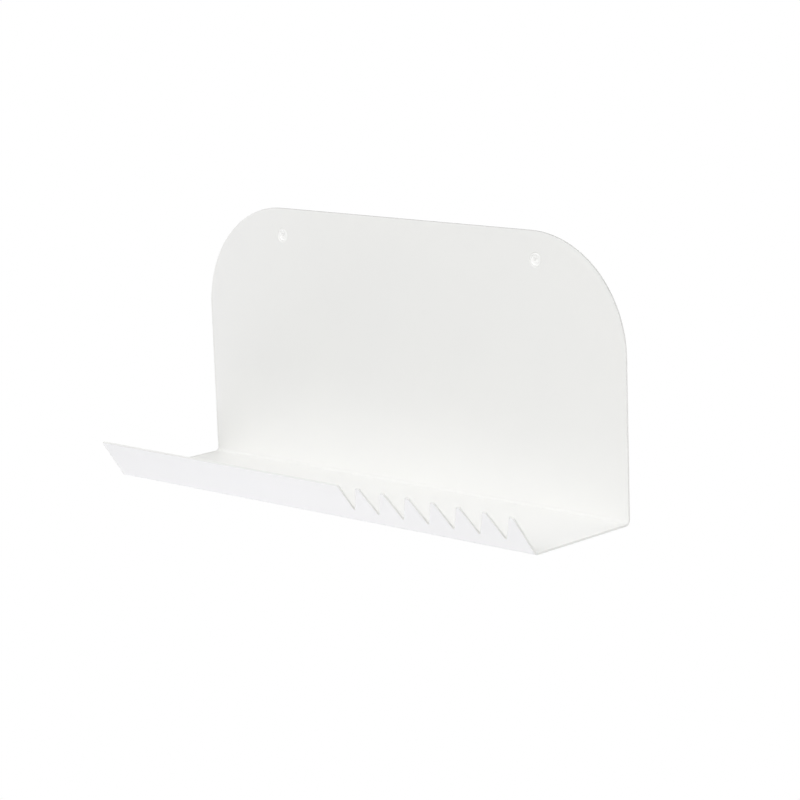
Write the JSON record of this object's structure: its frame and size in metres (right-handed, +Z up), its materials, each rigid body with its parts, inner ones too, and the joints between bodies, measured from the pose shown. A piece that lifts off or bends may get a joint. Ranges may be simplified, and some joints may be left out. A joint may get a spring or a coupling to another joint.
{
  "type": "wall shelf",
  "caption": "Folded sheet steel wall shelf with round top corners and a leaning front lip cut into saw teeth for hanging small things.",
  "frame": {"origin": "on the back plane that rests on the wall, at the middle of the shelf's width and at the height of the screws", "axes": "+X along the shelf towards its toothed end, +Y into the wall, +Z up"},
  "size_m": [0.4, 0.1498, 0.193],
  "materials": {
    "powder_coated_steel": "fine matte white powder coat",
    "screw_steel": "white lacquered steel",
    "plug_nylon": "moulded grey nylon"
  },
  "bodies": {
    "root": {"folded_shelf": "powder_coated_steel", "screw_left": "screw_steel", "screw_right": "screw_steel", "wall_plug_left": "plug_nylon", "wall_plug_right": "plug_nylon"}
  },
  "joints": []
}
